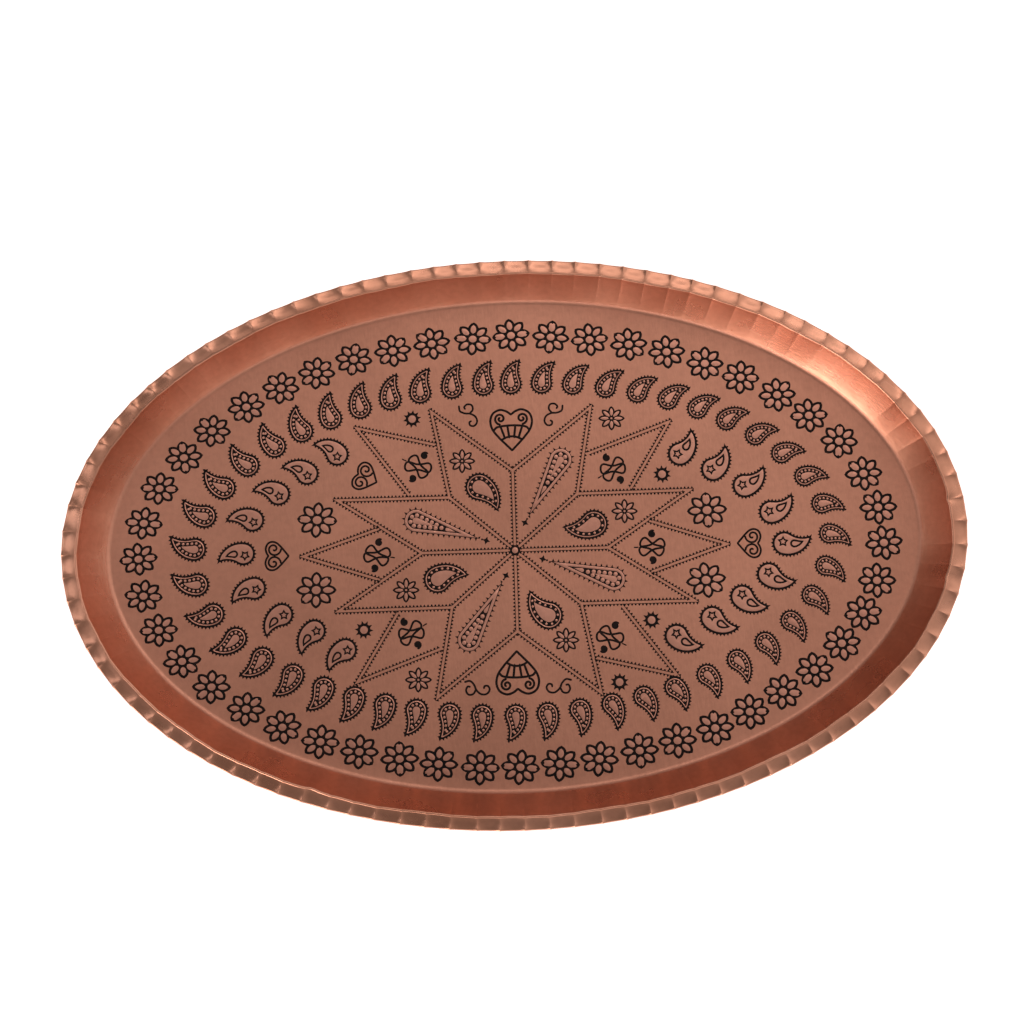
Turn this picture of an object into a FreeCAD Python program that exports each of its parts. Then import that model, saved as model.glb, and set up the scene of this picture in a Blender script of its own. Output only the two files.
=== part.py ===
import FreeCAD, Part
import math
import os

# An oval copper tray: one pressed sheet with a flat base, a leaning wall, a rolled bead and a
# fluted flange whose edge is turned down. The base is punched all over, and each family of
# punched motifs is filled with black lacquer, which sits in seats cut into the sheet.
# The frame is centred on the tray, +X along its length, +Z up, with the base resting on Z = 0.

DIMENSIONS = [
    ("sheet", 0.9, "thickness of the copper sheet"),
    ("tray_length", 400.0, "over the fluted flange, along X"),
    ("tray_width", 252.8, "over the fluted flange, along Y"),
    ("tray_height", 16.0, "from the table to the top of the bead"),
    ("foot_length", 366.4, "inside the wall, at the base"),
    ("foot_width", 222.0, "inside the wall, at the base"),
    ("mouth_length", 384.8, "inside the wall, at the bead"),
    ("mouth_width", 239.0, "inside the wall, at the bead"),
    ("wall_skin", 1.07, "thickness of the leaning wall, measured level"),
    ("bead_radius", 0.9, "rolled bead between wall and flange"),
    ("flange_drop", 0.8, "flute crests below the top of the bead"),
    ("flute_count", 96, "flutes round the flange"),
    ("flute_sag", 0.9, "depth of a flute at the outer edge"),
    ("skirt_height", 2.2, "height of the turned-down edge"),
    ("foot_round", 1.6, "inside radius where base and wall meet"),
    ("infill_depth", 0.3, "depth of the punched seats"),
    ("line_width", 1.1, "width of a filled line"),
    ("flower_count", 48, "flowers in the border"),
    ("flower_ring_x", 168.0, "half length of the border ring"),
    ("flower_ring_y", 97.6, "half width of the border ring"),
    ("flower_half_x", 8.6, "half length of a border flower"),
    ("flower_half_y", 7.3, "half width of a border flower"),
    ("paisley_count", 48, "paisleys in the outer ring"),
    ("paisley_ring_x", 146.4, "half length of the outer paisley ring"),
    ("paisley_ring_y", 78.3, "half width of the outer paisley ring"),
    ("paisley_length", 16.6, "bulb to tip"),
    ("paisley_width", 10.0, "across the bulb"),
    ("star_row_gap", 2.3, "between the two rows of a star line"),
    ("star_row_width", 0.9, "width of one row of a star line"),
]

PATTERN_CENTRE = FreeCAD.Vector(-1.6, -2.6, 0)
STAR_CENTRE = FreeCAD.Vector(0, -4.1, 0)
STAR_TURN = -0.4
MOTIF_TURN = -2.0

doc = FreeCAD.newDocument("copper_tray")
dims = doc.addObject("Spreadsheet::Sheet", "Dims")
for row, (alias, value, note) in enumerate(DIMENSIONS, start=1):
    dims.set("A%d" % row, alias)
    dims.set("B%d" % row, str(value))
    dims.set("C%d" % row, note)
    dims.setAlias("B%d" % row, alias)
doc.recompute()


def dim(alias):
    return float(dims.get(alias))


def vec(x, y, z=0.0):
    return FreeCAD.Vector(x, y, z)


def polar(radius, degrees):
    angle = math.radians(degrees)
    return vec(radius * math.cos(angle), radius * math.sin(angle))


# ---- the pressed sheet -------------------------------------------------------------------


def ellipse(name, half_x, half_y, height):
    """An ellipse whose two half axes and height follow the sheet."""
    curve = doc.addObject("Part::Ellipse", name)
    curve.setExpression("MajorRadius", half_x)
    curve.setExpression("MinorRadius", half_y)
    curve.setExpression("Placement.Base.z", height)
    return curve


def loft(name, sections):
    solid = doc.addObject("Part::Loft", name)
    solid.Sections = sections
    solid.Solid = True
    solid.Ruled = True
    return solid


def rounded_foot(name, base, radius):
    """The solid with its lowest edge rounded."""
    low = base.Shape.BoundBox.ZMin
    edges = [
        number
        for number, edge in enumerate(base.Shape.Edges, start=1)
        if abs(edge.BoundBox.ZMin - low) < 0.01 and abs(edge.BoundBox.ZMax - low) < 0.01
    ]
    fillet = doc.addObject("Part::Fillet", name)
    fillet.Base = base
    fillet.Edges = [(number, radius, radius) for number in edges]
    return fillet


def make_dish():
    """Base and leaning wall: an outer frustum less the space inside it."""
    outside = loft("dish_outside", [
        ellipse("foot_under", "Dims.foot_length / 2 + Dims.wall_skin / 2",
                "Dims.foot_width / 2 + Dims.wall_skin / 2", "0"),
        ellipse("mouth_under", "Dims.mouth_length / 2 + Dims.wall_skin",
                "Dims.mouth_width / 2 + Dims.wall_skin", "Dims.tray_height - Dims.bead_radius"),
    ])
    inside = loft("dish_inside", [
        ellipse("foot_inside", "Dims.foot_length / 2", "Dims.foot_width / 2", "Dims.sheet"),
        ellipse("mouth_inside", "Dims.mouth_length / 2", "Dims.mouth_width / 2",
                "Dims.tray_height - Dims.bead_radius"),
    ])
    doc.recompute()
    dish = doc.addObject("Part::Cut", "dish")
    dish.Base = rounded_foot("dish_outside_round", outside, dim("foot_round") + dim("sheet"))
    dish.Tool = rounded_foot("dish_inside_round", inside, dim("foot_round"))
    return dish


def make_bead():
    """The rolled bead that runs round the mouth."""
    path = ellipse("bead_path", "Dims.mouth_length / 2 + Dims.bead_radius",
                   "Dims.mouth_width / 2 + Dims.bead_radius",
                   "Dims.tray_height - Dims.bead_radius")
    section = doc.addObject("Part::Circle", "bead_section")
    section.setExpression("Radius", "Dims.bead_radius")
    section.setExpression("Placement.Base.x", "Dims.mouth_length / 2 + Dims.bead_radius")
    section.setExpression("Placement.Base.z", "Dims.tray_height - Dims.bead_radius")
    section.Placement.Rotation = FreeCAD.Rotation(vec(1, 0, 0), 90)
    bead = doc.addObject("Part::Sweep", "bead")
    bead.Sections = [section]
    bead.Spine = (path, ["Edge1"])
    bead.Solid = True
    bead.Frenet = True
    return bead


def even_places(half_x, half_y, count, start=0.0, sweep=360.0):
    """Points an equal walk apart along an ellipse, each with the angle of its outward normal.

    A full turn gives count places from the start angle; a part turn has a place at each end.
    """
    fine = 4096
    angles = [math.radians(start + sweep * step / fine) for step in range(fine + 1)]
    points = [vec(half_x * math.cos(a), half_y * math.sin(a)) for a in angles]
    walked = [0.0]
    for before, after in zip(points, points[1:]):
        walked.append(walked[-1] + (after - before).Length)
    gaps = count if sweep >= 360.0 else count - 1
    places = []
    step = 0
    for number in range(count):
        while walked[step] < walked[-1] * number / gaps - 1e-9:
            step += 1
        normal = math.atan2(half_x * math.sin(angles[step]), half_y * math.cos(angles[step]))
        places.append((points[step], math.degrees(normal)))
    return places


def make_flange():
    """The fluted flange and its turned-down edge.

    Straight crests run outwards from the bead. Between two crests the sheet sags towards the
    outer edge, and the edge turns down by the height of the skirt.
    """
    sheet = dim("sheet")
    half_x = dim("tray_length") / 2
    half_y = dim("tray_width") / 2
    reach = half_x - dim("mouth_length") / 2 - dim("bead_radius")
    crest_height = dim("tray_height") - dim("flange_drop")
    down = vec(0, 0, -dim("skirt_height"))
    thick = vec(0, 0, -sheet)
    sag = vec(0, 0, -dim("flute_sag"))
    crests = []
    for point, normal in even_places(half_x, half_y, int(dim("flute_count"))):
        outer = point + vec(0, 0, crest_height)
        outward = polar(1.0, normal)
        crests.append((outer - outward * reach, outer - outward * sheet, outer))
    faces = []
    for (inner_a, skirt_a, outer_a), (inner_b, skirt_b, outer_b) in zip(
            crests, crests[1:] + crests[:1]):
        edge_top = Part.Arc(outer_a, (outer_a + outer_b) / 2 + sag, outer_b).toShape()
        skirt_top = Part.Arc(skirt_a + thick, (skirt_a + skirt_b) / 2 + sag + thick,
                             skirt_b + thick).toShape()
        skirt_low = skirt_top.translated(down - thick)
        edge_low = edge_top.translated(down)
        inner_top = Part.LineSegment(inner_a, inner_b).toShape()
        inner_low = Part.LineSegment(inner_a + thick, inner_b + thick).toShape()
        outline = [inner_top, edge_top, edge_low, skirt_low, skirt_top, inner_low]
        for first, second in zip(outline, outline[1:] + outline[:1]):
            faces.append(Part.makeRuledSurface(first, second))
    shell = Part.makeShell(faces)
    shell.sewShape()
    flange = doc.addObject("Part::Feature", "fluted_flange")
    flange.Shape = Part.makeSolid(Part.Shell(shell.Faces))
    return flange


# ---- outlines of the punched motifs, flat on Z = 0 ---------------------------------------


def face(outline, holes=()):
    return Part.makeFace([outline] + list(holes), "Part::FaceMakerBullseye")


def circle(radius, centre=vec(0, 0)):
    return Part.Wire(Part.makeCircle(radius, centre))


def oval(half_x, half_y, centre, degrees):
    """An oval whose long axis, half_x, lies at an angle."""
    direction = vec(0, 0, 1)
    if half_y > half_x:
        half_x, half_y, degrees = half_y, half_x, degrees + 90
    wire = Part.Wire(Part.Ellipse(vec(0, 0), half_x, half_y).toShape())
    wire.rotate(vec(0, 0), direction, degrees)
    wire.translate(centre)
    return wire


def lobed(half_x, half_y, count, waist):
    """A closed outline of round lobes; waist is the depth of the valleys."""
    step = 360.0 / count
    edges = []
    for number in range(count):
        tip = number * step
        points = []
        for angle, reach in ((tip - step / 2, waist), (tip, 1.0), (tip + step / 2, waist)):
            spot = polar(reach, angle)
            points.append(vec(spot.x * half_x, spot.y * half_y))
        edges.append(Part.Arc(*points).toShape())
    return Part.Wire(edges)


def flower(half_x, half_y, petals=8):
    """A filled flower that leaves its petals and its eye as bare copper."""
    holes = [circle(0.11 * (half_x + half_y) / 2)]
    for number in range(petals):
        angle = number * 360.0 / petals
        spot = polar(0.66, angle)
        holes.append(oval(0.2 * half_x, 0.11 * half_x, vec(spot.x * half_x, spot.y * half_y), angle))
    return [face(lobed(half_x, half_y, petals, 0.74), holes)]


def teardrop(length, width, lean, foot=0.0):
    """A drop along +Y with a round bulb at its foot and a tip that leans sideways."""
    radius = width / 2
    centre = foot + radius
    tip = vec(lean, foot + length)
    left = vec(-radius, centre)
    right = vec(radius, centre)
    left_middle = vec(-radius * 0.62 + lean * 0.25, centre + (tip.y - centre) * 0.58)
    right_middle = vec(radius * 0.68 + lean * 0.05, centre + (tip.y - centre) * 0.5)
    return Part.Wire([
        Part.Arc(left, vec(0, foot), right).toShape(),
        Part.Arc(right, right_middle, tip).toShape(),
        Part.Arc(tip, left_middle, left).toShape(),
    ])


def paisley(length, width, lean):
    """Two filled bands, one inside the other, about a bare middle."""
    line = dim("line_width")
    foot = -length / 2
    outlines = []
    for inset in (0.0, 0.75 * line, 1.35 * line, 2.6 * line):
        shrink = (width - 2 * inset) / width
        outlines.append(teardrop(length * shrink, width * shrink, lean * shrink, foot + inset))
    return [face(outlines[0], [outlines[1]]), face(outlines[2], [outlines[3]])]


def starred_paisley(length, width, lean):
    """A filled outline with a star in the bulb and a small drop towards the tip."""
    line = dim("line_width")
    foot = -length / 2
    shrink = (width - 1.6 * line) / width
    rim = teardrop(length, width, lean, foot)
    inner = teardrop(length * shrink, width * shrink, lean * shrink, foot + 0.8 * line)
    bulb = vec(0, foot + width / 2)
    star = [bulb + polar(2.6 if point % 2 == 0 else 1.3, 90 + 36 * point) for point in range(11)]
    seed = teardrop(3.8, 1.9, lean / 4, foot + width * 0.86)
    seed.translate(vec(lean * 0.12, 0))
    return [face(rim, [inner]), face(Part.makePolygon(star)), face(seed)]


def long_drop(length, width):
    """A long straight drop with a bare middle and a small finial at its tip."""
    line = dim("line_width")
    shrink = (width - 2 * line) / width
    rim = teardrop(length, width, 0.0)
    inner = teardrop(length * shrink, width * shrink, 0.0, line)
    finial = oval(1.5, 1.0, vec(0, length + 2.6), 90)
    return [face(rim, [inner]), face(finial)]


def heart(length):
    """A filled heart outline along +Y with its point down."""
    line = dim("line_width")
    wires = []
    for size, lift in ((length, 0.0), (length - 2.6 * line, 1.5 * line)):
        lobe = size * 0.26
        top = size - lobe
        shoulder = vec(2 * lobe, lift + top)
        notch = vec(0, lift + top)
        point = vec(0, lift)
        flank = vec(size * 0.34, lift + size * 0.3)
        right = [
            Part.Arc(point, flank, shoulder).toShape(),
            Part.Arc(shoulder, vec(lobe, lift + size), notch).toShape(),
        ]
        left = [edge.mirror(vec(0, 0), vec(1, 0, 0)) for edge in right]
        wires.append(Part.Wire(Part.__sortEdges__(right + left)))
    for wire in wires:
        wire.translate(vec(0, -length / 2))
    return [face(wires[0], [wires[1]])]


def fan_heart(length):
    """A heart outline about two rings and a fan of three cells."""
    cells = [circle(1.9, vec(side * 3.6, 3.6)) for side in (-1, 1)]
    eyes = [circle(0.8, vec(side * 3.6, 3.6)) for side in (-1, 1)]
    rings = [face(cell, [eye]) for cell, eye in zip(cells, eyes)]
    fan = [face(oval(1.7, 0.75, vec(side * 2.3, -1.9), 90)) for side in (-1, 0, 1)]
    return heart(length) + rings + fan


def knot():
    """Four loops about one middle."""
    spots = [polar(3.8, quarter * 90) for quarter in range(4)]
    return [face(circle(2.5, spot), [circle(1.5, spot)]) for spot in spots]


def gear_rosette():
    """A small toothed ring."""
    return [face(lobed(4.2, 4.4, 7, 0.72), [circle(1.7)])]


def hook(radius, centre, start, sweep):
    """Part of a ring."""
    half = dim("line_width") / 2
    arcs = []
    for reach in (radius + half, radius - half):
        spots = [centre + polar(reach, start + sweep * share) for share in (0.0, 0.5, 1.0)]
        arcs.append((Part.Arc(*spots).toShape(), spots))
    (outer, outer_spots), (inner, inner_spots) = arcs
    ends = [Part.LineSegment(outer_spots[end], inner_spots[end]).toShape() for end in (0, 2)]
    return face(Part.Wire(Part.__sortEdges__([outer, inner] + ends)))


def scroll():
    """An S of two hooks."""
    return [hook(1.9, vec(-2.0, 1.7), -60, 270), hook(1.9, vec(2.0, -1.7), 120, 270)]


# ---- the infill pieces ------------------------------------------------------------------


def place(faces, spot, degrees, mirrored=False):
    """Copies of the flat faces, turned and moved to their place."""
    placed = []
    for flat in faces:
        copy = flat.mirror(vec(0, 0), vec(1, 0, 0)) if mirrored else flat.copy()
        copy.rotate(vec(0, 0), vec(0, 0, 1), degrees)
        copy.translate(spot)
        placed.append(copy)
    return placed


def on_star(x, y, turn=STAR_TURN):
    """A place given from the middle of the star and turned with it."""
    spot = vec(x, y)
    turned = FreeCAD.Rotation(vec(0, 0, 1), turn).multVec(spot)
    return STAR_CENTRE + turned


infills = []


def make_infill(label, faces, joined=False):
    """One node of infill: every face thickened to the depth of the seats."""
    solids = [flat.extrude(vec(0, 0, dim("infill_depth"))) for flat in faces]
    infill = doc.addObject("Part::Feature", label)
    if joined:
        infill.Shape = solids[0].multiFuse(solids[1:]).removeSplitter()
    else:
        infill.Shape = Part.makeCompound(solids)
    infill.Label = label
    infill.setExpression("Placement.Base.z", "Dims.sheet - Dims.infill_depth")
    infills.append(infill)


def wandering(half_x, half_y, count, drifts):
    """Places round an ellipse, each moved clockwise by a slowly varying share of the pitch.

    Each place comes with its outward normal and its angle round the ring, in degrees.
    """
    fine = even_places(half_x, half_y, count * 40)
    places = []
    for number in range(count):
        spot = fine[number * 40][0]
        angle = math.degrees(math.atan2(spot.y / half_y, spot.x / half_x))
        shift = between(drifts, angle % 360)
        spot, normal = fine[int(round(number * 40 - 40 * shift)) % len(fine)]
        places.append((spot, normal,
                       math.degrees(math.atan2(spot.y / half_y, spot.x / half_x)) % 360))
    return places


def between(stations, angle):
    """A value between the two stations, (angle, value), that the angle lies between."""
    for (before, low), (after, high) in zip(stations, stations[1:]):
        if before <= angle <= after:
            return low + (high - low) * (angle - before) / (after - before)
    return stations[-1][1]


# How far the marks of each ring wander clockwise, in shares of the pitch, at places round it.
FLOWER_DRIFTS = [(0, 0.26), (20, 0.35), (50, 0.31), (70, 0.27), (90, 0.21), (115, 0.06), (135, 0),
                 (145, -0.06), (155, -0.1), (165, -0.06), (175, 0.03), (190, 0.07), (200, 0.12),
                 (215, 0.13), (235, 0.07), (280, -0.04), (315, 0.04), (335, 0.12), (360, 0.26)]
OUTER_DRIFTS = [(0, 0.06), (45, 0.1), (67, 0.24), (74, 0.23), (80, 0.2), (90, 0.26), (96, 0.39),
                (105, 0.47), (125, 0.58), (155, 0.55), (180, 0.4), (200, 0.2), (212, 0.12),
                (228, -0.02), (240, -0.01), (250, 0.09), (270, 0.13), (300, 0.17), (330, 0.13),
                (360, 0.06)]
# Which way the tips point, seen in the photo: the outer ring's turn from the outward normal at
# places round the ring, and the directions of the tips along the two inner arcs.
OUTER_TURNS = [(0, -31), (30, -45), (60, -46), (80, -34), (90, -19), (105, -30), (125, -19),
               (140, -1), (155, -3), (180, -26), (190, -42), (210, -22), (240, -16), (270, -18),
               (296, 9), (315, -8), (345, -20), (360, -31)]
INNER_PLACES = [(74.0, -46.5, -21), (90.4, -39.1, -21), (104.4, -30.1, -22), (117.1, -20.1, -15),
                (125.0, -4.7, 13), (119.2, 11.1, 39), (107.7, 23.8, 43), (93.0, 32.5, 61),
                (78.2, 40.2, 63), (-82.3, 44.0, 156), (-96.3, 35.2, 165), (-109.5, 25.9, 172),
                (-121.4, 13.9, 180), (-125.6, -2.1, 196), (-120.5, -18.7, 212),
                (-107.5, -31.9, 235), (-92.8, -39.9, 241), (-79.5, -48.5, 231)]
LEAN_TURN = 13.0


def flower_border():
    stamp = flower(dim("flower_half_x"), dim("flower_half_y"))
    faces = []
    for spot, _, _ in wandering(dim("flower_ring_x"), dim("flower_ring_y"),
                                int(dim("flower_count")), FLOWER_DRIFTS):
        faces += place(stamp, spot + PATTERN_CENTRE, 0)
    return faces


def outer_paisleys():
    stamp = paisley(dim("paisley_length"), dim("paisley_width"), 2.6)
    faces = []
    for spot, normal, angle in wandering(dim("paisley_ring_x"), dim("paisley_ring_y"),
                                         int(dim("paisley_count")), OUTER_DRIFTS):
        turn = normal - 90 + between(OUTER_TURNS, angle) + LEAN_TURN
        faces += place(stamp, spot + PATTERN_CENTRE, turn)
    return faces


def inner_paisleys():
    stamp = starred_paisley(16.8, 10.4, 2.8)
    faces = []
    for x, y, direction in INNER_PLACES:
        faces += place(stamp, vec(x, y), direction - 90 - LEAN_TURN, mirrored=True)
    return faces


# Half of the star's corners on its own axes; the rest are mirrored from these.
NOTCHES = [(42.0, 0.0), (29.0, 24.9), (0.0, 36.4)]
WIDE_TIP = (79.9, 25.1)
TALL_TIP = (36.4, 64.7)
SIDE_POINT = [(61.0, 11.7), (95.6, 0.0), (61.0, -11.7)]
CORNER_POINT = [(34.4, 46.2), (71.2, 57.4), (50.2, 26.4)]
QUARTERS = [(1, 1), (-1, 1), (-1, -1), (1, -1)]


def double_row(start, end, trim_start, trim_end):
    """Two narrow bars side by side between two corners, short of each by its trim."""
    along = (end - start).normalize()
    across = vec(-along.y, along.x)
    first = start + along * trim_start
    last = end - along * trim_end
    half = dim("star_row_width") / 2
    faces = []
    for side in (-0.5, 0.5):
        middle = across * (side * dim("star_row_gap"))
        corners = [first + middle - across * half, last + middle - across * half,
                   last + middle + across * half, first + middle + across * half]
        faces.append(face(Part.makePolygon(corners + corners[:1])))
    return faces


def star_outline():
    faces = []
    for flip_x, flip_y in QUARTERS:
        path = [NOTCHES[0], WIDE_TIP, NOTCHES[1], TALL_TIP, NOTCHES[2]]
        corners = [on_star(x * flip_x, y * flip_y) for x, y in path]
        for start, end in zip(corners, corners[1:]):
            faces += double_row(start, end, 1.5, 1.5)
    return faces


def star_rays():
    spots = set()
    for flip_x, flip_y in QUARTERS:
        for x, y in NOTCHES:
            spots.add((x * flip_x + 0.0, y * flip_y + 0.0))
    middle = on_star(0, 0)
    faces = []
    for x, y in sorted(spots):
        faces += double_row(middle, on_star(x, y), 5.2, 4.6)
    return faces


def star_points():
    faces = []
    for flip_x, flip_y in QUARTERS:
        slip = [(0.0, -3.0 * flip_x), (0.7 * flip_y, -0.6 * flip_x), (3.0 * flip_y, 0.0)]
        corners = [on_star(x * flip_x + dx, y * flip_y + dy)
                   for (x, y), (dx, dy) in zip(CORNER_POINT, slip)]
        for start, end in zip(corners, corners[1:]):
            faces += double_row(start, end, 3.0, 3.0)
    for flip_x in (1, -1):
        corners = [on_star(x * flip_x, y) for x, y in SIDE_POINT]
        for start, end in zip(corners, corners[1:]):
            faces += double_row(start, end, 3.0, 3.0)
    return faces


def scattered(stamp, spots):
    """One stamp at each (x, y, turn) measured from the middle of the star."""
    faces = []
    for x, y, turn in spots:
        faces += place(stamp, on_star(x, y, MOTIF_TURN), turn)
    return faces


def make_infills():
    make_infill("flower_border_infill", flower_border())
    make_infill("outer_paisley_infill", outer_paisleys())
    make_infill("inner_paisley_infill", inner_paisleys())
    make_infill("star_outline_infill", star_outline(), joined=True)
    make_infill("star_ray_infill", star_rays())
    make_infill("star_point_infill", star_points(), joined=True)
    make_infill("centre_ring_infill", [face(circle(2.4), [circle(1.3)])])
    infills[-1].Placement.Base = STAR_CENTRE
    make_infill("star_paisley_infill", scattered(
        paisley(18.5, 11.2, 2.6),
        [(-14.0, 26.1, -131), (32.2, 12.3, 107), (12.9, -26.5, 49), (-32.0, -12.0, -71)]))
    make_infill("long_drop_infill", scattered(
        long_drop(32.0, 9.0),
        [(23.4, 45.5, 148.5), (49.0, -14.6, 72), (-23.3, -44.3, -32), (-49.6, 15.0, -108)]))
    make_infill("blossom_infill", scattered(
        flower(5.8, 5.4),
        [(-24.2, 41.0, 0), (49.6, 17.8, 0), (22.8, -41.0, 0), (-49.0, -17.9, 0),
         (44.2, 60.4, 0), (-43.2, -58.0, 0)]))
    make_infill("knot_infill", scattered(
        knot(),
        [(-44.0, 38.4, 0), (44.6, 36.8, 0), (62.4, 1.4, 0), (42.4, -39.2, 0),
         (-46.6, -37.2, 0), (-62.2, -2.0, 0)]))
    make_infill("rosette_infill", scattered(
        flower(9.0, 7.8),
        [(-89.4, 14.0, 0), (-89.4, -17.6, 0), (87.0, 18.0, 0), (85.8, -13.6, 0)]))
    make_infill("fan_heart_infill", scattered(
        fan_heart(19.6), [(-1.6, 57.4, 0), (1.0, -55.6, 180)]))
    make_infill("scroll_heart_infill", scattered(
        heart(12.4), [(-68.6, 34.2, 26), (-107.8, -2.4, 90), (106.2, 3.0, -90)]))
    make_infill("gear_rosette_infill", scattered(
        gear_rosette(),
        [(-46.8, 60.4, 0), (67.0, 34.6, 0), (61.0, -31.4, 0), (-67.8, -35.6, 0),
         (46.4, -59.0, 0)]))
    make_infill("scroll_infill", scattered(
        scroll(), [(-20.8, 61.8, 0), (17.4, 62.0, 90), (-16.6, -61.6, 0), (19.0, -60.8, 90)]))


def make_tray():
    """The pressed sheet with a seat cut for every piece of infill."""
    pressed = doc.addObject("Part::MultiFuse", "pressed_sheet")
    pressed.Shapes = [make_dish(), make_bead(), make_flange()]
    seats = doc.addObject("Part::Compound", "infill_seats")
    seats.Links = infills
    tray = doc.addObject("Part::Cut", "tray_body")
    tray.Base = pressed
    tray.Tool = seats
    tray.Label = "tray_body"
    return tray


make_infills()
tray_body = make_tray()
doc.recompute()

for thing in doc.Objects:
    if "Invalid" in thing.State or "Error" in thing.State:
        raise RuntimeError("%s failed to recompute" % thing.Label)

subparts = [tray_body] + infills
for thing in subparts:
    if thing.Shape.isNull() or not thing.Shape.isValid():
        raise RuntimeError("%s has no valid shape" % thing.Label)

os.makedirs("parts", exist_ok=True)
for thing in subparts:
    thing.Shape.exportStep("parts/%s.step" % thing.Label)
    print(thing.Label, len(thing.Shape.Solids), "solids", round(thing.Shape.Volume, 1), "mm3")
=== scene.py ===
import math
import random

import bmesh
import bpy
import numpy as np
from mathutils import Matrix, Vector, geometry


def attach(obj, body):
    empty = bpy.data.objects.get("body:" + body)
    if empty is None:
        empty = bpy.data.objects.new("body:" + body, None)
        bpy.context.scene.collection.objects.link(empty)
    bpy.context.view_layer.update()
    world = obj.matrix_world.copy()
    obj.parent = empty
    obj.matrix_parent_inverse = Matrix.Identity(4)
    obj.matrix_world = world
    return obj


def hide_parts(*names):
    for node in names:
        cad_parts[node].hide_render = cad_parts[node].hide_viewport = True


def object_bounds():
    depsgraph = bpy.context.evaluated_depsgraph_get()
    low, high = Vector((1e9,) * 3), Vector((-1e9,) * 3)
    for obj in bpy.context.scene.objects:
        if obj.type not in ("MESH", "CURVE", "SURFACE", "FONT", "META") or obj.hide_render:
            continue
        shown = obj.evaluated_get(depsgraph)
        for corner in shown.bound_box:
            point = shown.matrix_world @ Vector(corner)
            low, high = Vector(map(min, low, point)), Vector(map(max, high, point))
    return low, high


# An oval copper tray, seen from above. Lengths are millimetres until a mesh is made, and metres
# in the studio. The base is one flat net of triangles cut along every punched outline. Where
# a line is punched the copper drops to the floor of a seat, and a thin piece of black infill
# lies there.

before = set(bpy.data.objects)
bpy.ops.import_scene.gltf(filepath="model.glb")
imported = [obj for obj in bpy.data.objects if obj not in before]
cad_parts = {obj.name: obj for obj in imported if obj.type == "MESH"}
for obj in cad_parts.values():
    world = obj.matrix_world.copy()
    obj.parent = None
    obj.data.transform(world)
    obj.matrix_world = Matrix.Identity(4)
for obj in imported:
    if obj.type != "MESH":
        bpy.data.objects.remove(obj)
cad_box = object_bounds()
random.seed(11)

MM = 0.001
HALF_X = (cad_box[1].x - cad_box[0].x) / 2 / MM
HALF_Y = (cad_box[1].y - cad_box[0].y) / 2 / MM
HEIGHT = (cad_box[1].z - cad_box[0].z) / MM

SHEET = 0.9
SEAT_DEPTH = 0.3
INK_DROP = 0.09
ISLAND_EDGE = -0.03

PATTERN_CENTRE = np.array([-1.6, -2.6])
STAR_CENTRE = np.array([0.0, -4.1])
STAR_TURN = -0.4
MOTIF_TURN = -2.0

# The two rings of marks that follow the rim.
RING_MARKS = 48
FLOWER_RING = (168.0, 97.6)
PAISLEY_RING = (146.4, 78.3)


# ---- outlines ---------------------------------------------------------------------------


def unit(angle):
    """Directions for an angle, or for each of an array of angles, in degrees."""
    radians = np.radians(angle)
    return np.stack([np.cos(radians), np.sin(radians)], axis=-1)


def turned(points, degrees):
    cosine, sine = unit(degrees)
    return points @ np.array([[cosine, sine], [-sine, cosine]])


def ring(radius, count, centre=(0.0, 0.0), start=0.0):
    return np.array(centre) + radius * unit(start + np.arange(count) * 360.0 / count)


def lengths(loop, closed=True):
    """The distance walked to each point, ending with the whole length."""
    ends = np.roll(loop, -1, axis=0) if closed else loop[1:]
    steps = np.linalg.norm(ends - loop[: len(ends)], axis=1)
    return np.concatenate([[0.0], np.cumsum(steps)])


def even(loop, count, closed=True):
    """The same outline with its points an equal walk apart."""
    walked = lengths(loop, closed)
    path = np.vstack([loop, loop[:1]]) if closed else loop
    spots = np.linspace(0.0, walked[-1], count, endpoint=not closed)
    return np.stack([np.interp(spots, walked, path[:, axis]) for axis in (0, 1)], axis=-1)


def normals(loop, closed=True):
    """Unit normals, on the right of the direction of travel."""
    if closed:
        along = np.roll(loop, -1, axis=0) - np.roll(loop, 1, axis=0)
    else:
        along = np.gradient(loop, axis=0)
    along = along / np.linalg.norm(along, axis=1)[:, None]
    return np.stack([along[:, 1], -along[:, 0]], axis=-1)


def clockwise(loop):
    """Whether a closed outline runs clockwise."""
    nexts = np.roll(loop, -1, axis=0)
    return np.sum(loop[:, 0] * nexts[:, 1] - loop[:, 1] * nexts[:, 0]) < 0


def toothed(loop, pitch, depth):
    """A saw-toothed outline standing on a counter-clockwise loop."""
    count = int(round(lengths(loop)[-1] / pitch))
    fine = even(loop, 3 * count)
    reach = np.tile([0.0, depth, 0.0], count)
    return fine + normals(fine) * reach[:, None]


def spline(knots, steps=6):
    """A smooth open line through its knots."""
    knots = np.array(knots, float)
    before = np.vstack([2 * knots[0] - knots[1], knots[:-2]])
    after = np.vstack([knots[2:], 2 * knots[-1] - knots[-2]])
    share = np.linspace(0.0, 1.0, steps, endpoint=False)[:, None]
    spans = []
    for p0, p1, p2, p3 in zip(before, knots[:-1], knots[1:], after):
        bend = 2 * p1 + (p2 - p0) * share + (2 * p0 - 5 * p1 + 4 * p2 - p3) * share**2
        spans.append(0.5 * (bend + (3 * p1 - p0 - 3 * p2 + p3) * share**3))
    return np.vstack(spans + [knots[-1:]])


def ribbon(line, width):
    """The outline of an open line drawn with a round-nosed tool."""
    side = normals(line, closed=False) * width / 2
    nose = (line[-1] - line[-2]) / np.linalg.norm(line[-1] - line[-2]) * width / 2
    heel = (line[0] - line[1]) / np.linalg.norm(line[0] - line[1]) * width / 2
    return np.vstack([line + side, line[-1:] + nose, (line - side)[::-1], line[:1] + heel])


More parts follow.
